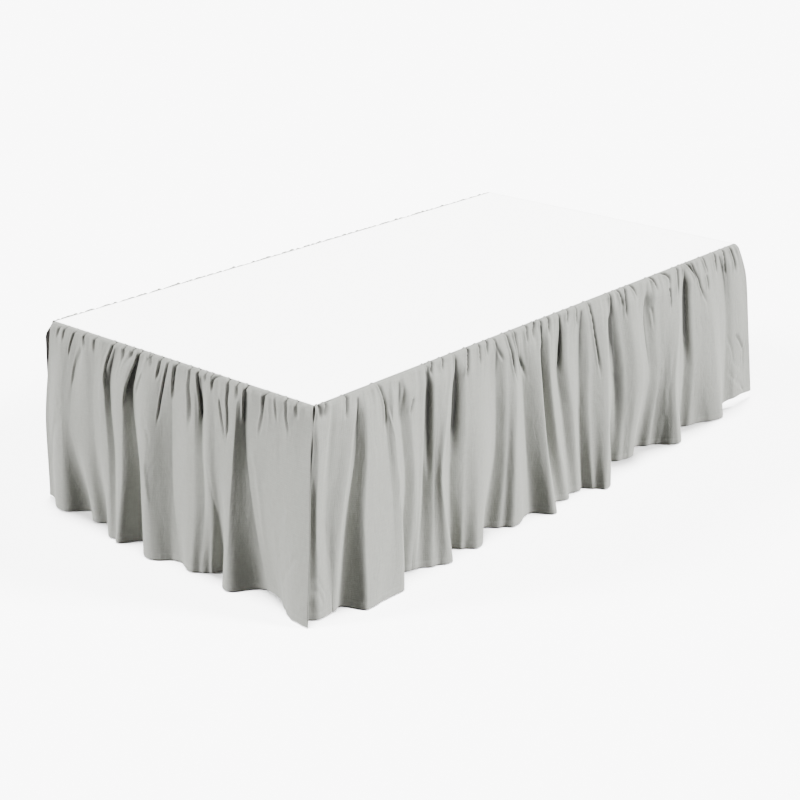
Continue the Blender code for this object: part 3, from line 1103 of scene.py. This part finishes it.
@dataclass
class DeckSheet:
    """The flat white sheet that the drops are sewn to, laid on the base."""

    name: str = "deck_sheet"
    thickness: float = 0.0012
    columns: int = 120
    rows: int = 220

    def build(self) -> bpy.types.Object:
        """Makes the sheet: flat in the middle, puckered a little beside the seams.

        Returns:
            The finished piece.
        """
        width = 2 * PLACE.half_width
        length = PLACE.head_seam - PLACE.foot_seam
        bpy.ops.object.select_all(action="DESELECT")
        bpy.ops.mesh.primitive_grid_add(x_subdivisions=self.columns, y_subdivisions=self.rows)
        piece = bpy.context.object
        piece.name = self.name
        piece.data.name = self.name
        flat = np.zeros(len(piece.data.vertices) * 3)
        piece.data.vertices.foreach_get("co", flat)
        flat = flat.reshape(-1, 3)
        x = flat[:, 0] * width / 2
        y = PLACE.foot_seam + (flat[:, 1] + 1) * length / 2
        to_edge = np.minimum(PLACE.half_width - np.abs(x), y - PLACE.foot_seam)
        pucker = np.exp(-to_edge / 0.018) * smooth(to_edge / 0.004)
        rise = 0.0006 * pucker * (1 + soft_noise(x, y, (0.013, 0.013), 31))
        rise += 0.0004 * (1 + soft_noise(x, y, (0.16, 0.16), 32)) * smooth(to_edge / 0.05)
        z = PLACE.base_top + PIECE_GAP + self.thickness / 2 + rise
        points = np.stack([x + PLACE.middle_x, y + PLACE.middle_y, z], axis=1)
        piece.data.vertices.foreach_set("co", points.reshape(-1))
        corners = np.zeros(len(piece.data.loops), dtype=np.int64)
        piece.data.loops.foreach_get("vertex_index", corners)
        piece.data.uv_layers[0].data.foreach_set("uv", points[corners, :2].reshape(-1))
        piece.data.update()
        modifier = piece.modifiers.new("Thickness", "SOLIDIFY")
        modifier.thickness = self.thickness
        modifier.offset = 0.0
        bpy.ops.object.modifier_apply(modifier=modifier.name)
        bpy.ops.object.shade_smooth()
        self.flat_size = (width, length)
        return piece

    def dress(self, piece: bpy.types.Object, material: bpy.types.Material) -> None:
        """Gives the piece its cloth and its place in the frame.

        Args:
            piece: The finished piece.
            material: Its cloth.
        """
        piece.data.materials.append(material)
        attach(piece, BODY)
        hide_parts("deck")


@dataclass
class BedBase:
    """The plain base and its legs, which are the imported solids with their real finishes."""

    legs: tuple[str, ...] = tuple(
        f"leg_{along}_{side}" for along in ("foot", "middle", "head") for side in ("right", "left")
    )

    def dress(self, cover: bpy.types.Material, wood: bpy.types.Material) -> None:
        """Covers the base and stains the legs.

        Args:
            cover: The base's cloth.
            wood: The legs' wood.
        """
        self.finish("bed_base", cover)
        for leg in self.legs:
            self.finish(leg, wood)

    @staticmethod
    def finish(node: str, material: bpy.types.Material) -> None:
        """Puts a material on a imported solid.

        Args:
            node: The solid's name.
            material: Its finish.
        """
        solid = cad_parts[node]
        for slot in solid.material_slots:
            slot.material = material


@dataclass
class Studio:
    """The pale floor, the soft lights and the camera."""

    eye: tuple[float, float, float] = (3.325, -3.9285, 2.110)
    yaw: float = 41.14
    pitch: float = 20.70
    roll: float = 0.11
    lens: float = 82.07

    def floor(self) -> None:
        """Lays the pale floor under the bed."""
        bpy.ops.object.select_all(action="DESELECT")
        bpy.ops.mesh.primitive_plane_add(size=200.0, location=(0.0, 0.0, 0.0))
        floor = bpy.context.object
        floor.name = "studio_floor"
        material = bpy.data.materials.new("white_studio_floor")
        material.use_nodes = True
        shader = material.node_tree.nodes["Principled BSDF"]
        shader.inputs["Base Color"].default_value = linear("#FAFAFA")
        shader.inputs["Roughness"].default_value = 1.0
        shader.inputs["Specular IOR Level"].default_value = 0.0
        floor.data.materials.append(material)
        floor.visible_diffuse = False

    def lights(self) -> None:
        """Hangs the soft lights and brightens the air round the bed."""
        world = bpy.data.worlds.new("studio_air")
        world.use_nodes = True
        air = world.node_tree.nodes["Background"]
        air.inputs["Color"].default_value = linear("#FFFFFF")
        air.inputs["Strength"].default_value = 0.12
        bpy.context.scene.world = world
        overhead = self.light("overhead", side=(0.0, 0.0), height=90.0, power=21.0, size=12.0)
        self.shine_only_on(overhead, ("studio_floor", "deck_sheet"))
        self.light("left_softbox", side=(-0.58, -0.81), height=30.0, power=7.3, size=14.0)
        self.light("right_softbox", side=(0.86, 0.50), height=30.0, power=9.7, size=14.0)

    @staticmethod
    def shine_only_on(lamp: bpy.types.Object, names: tuple[str, ...]) -> None:
        """Keeps a light to the named things, as a flag in front of it would.

        Args:
            lamp: The light.
            names: What it shines on.
        """
        lit = bpy.data.collections.new(f"{lamp.name}_lit")
        for name in names:
            lit.objects.link(bpy.data.objects[name])
        lamp.light_linking.receiver_collection = lit

    @staticmethod
    def light(
        name: str, side: tuple[float, float], height: float, power: float, size: float
    ) -> bpy.types.Object:
        """Hangs one far soft light, which lights the whole floor evenly.

        Args:
            name: The light's name.
            side: The way from the bed to the light, seen from above.
            height: Its height above the horizon in degrees.
            power: Its strength in watts per square metre.
            size: How large it looks from the bed, in degrees.

        Returns:
            The light.
        """
        data = bpy.data.lights.new(name, "SUN")
        data.energy = power
        data.angle = math.radians(size)
        lamp = bpy.data.objects.new(name, data)
        bpy.context.scene.collection.objects.link(lamp)
        level = Vector((*side, 0.0))
        rise = math.tan(math.radians(min(height, 89.9))) * max(level.length, 0.01)
        lamp.rotation_euler = (-level - Vector((0.0, 0.0, rise))).to_track_quat("-Z", "Y").to_euler()
        return lamp

    def camera(self) -> None:
        """Sets the camera where the photograph was taken from."""
        data = bpy.data.cameras.new("camera")
        data.lens = self.lens
        data.sensor_width = 36.0
        eye = bpy.data.objects.new("camera", data)
        bpy.context.scene.collection.objects.link(eye)
        turn = Matrix.Rotation(math.radians(self.yaw), 4, "Z")
        tip = Matrix.Rotation(math.radians(90 - self.pitch), 4, "X")
        lean = Matrix.Rotation(math.radians(self.roll), 4, "Z")
        eye.matrix_world = Matrix.Translation(self.eye) @ turn @ tip @ lean
        bpy.context.scene.camera = eye


def drops() -> list[GatheredDrop]:
    """Sets the three drops.

    Returns:
        The right one, the foot's and the left one.
    """
    right_corner = (PLACE.half_width, PLACE.foot_seam)
    left_corner = (-PLACE.half_width, PLACE.foot_seam)
    return [
        GatheredDrop(
            "side_panel_right_cloth", right_corner, (0, 1), (1, 0), RIGHT_LINES, RIGHT_CREASES, 11,
            pitch=0.0044, lifts=((0, 0), (1700, 0), (1800, 22), (1850, 27), (1892, 18)),
            start_flare=0.0126, puff=4.2,
        ),
        GatheredDrop(
            "foot_panel_cloth", right_corner, (-1, 0), (0, -1), FOOT_LINES, FOOT_CREASES, 21,
            pitch=0.0027, start_flare=0.0122,
        ),
        GatheredDrop(
            "side_panel_left_cloth", left_corner, (0, 1), (-1, 0), LEFT_LINES, left_creases(), 31,
            pitch=0.0060,
        ),
    ]


def main() -> None:
    """Builds and dresses every piece, then the studio round them."""
    logging.basicConfig(level=logging.INFO)
    drop_cloth = DROP_COTTON.make()
    for drop in drops():
        piece = drop.build()
        drop.dress(piece, drop_cloth)
        LOG.info("%s: flat %.3f x %.3f m, %d faces", piece.name, *drop.flat_size, len(piece.data.polygons))
    deck = DeckSheet()
    sheet = deck.build()
    deck.dress(sheet, DECK_COTTON.make())
    LOG.info("%s: flat %.3f x %.3f m", sheet.name, *deck.flat_size)
    BedBase().dress(BASE_COVER.make(), LEG_BEECH.make())
    LOG.info("bed_base and its legs: dressed")
    studio = Studio()
    studio.floor()
    studio.lights()
    studio.camera()


if __name__ == "__main__":
    main()
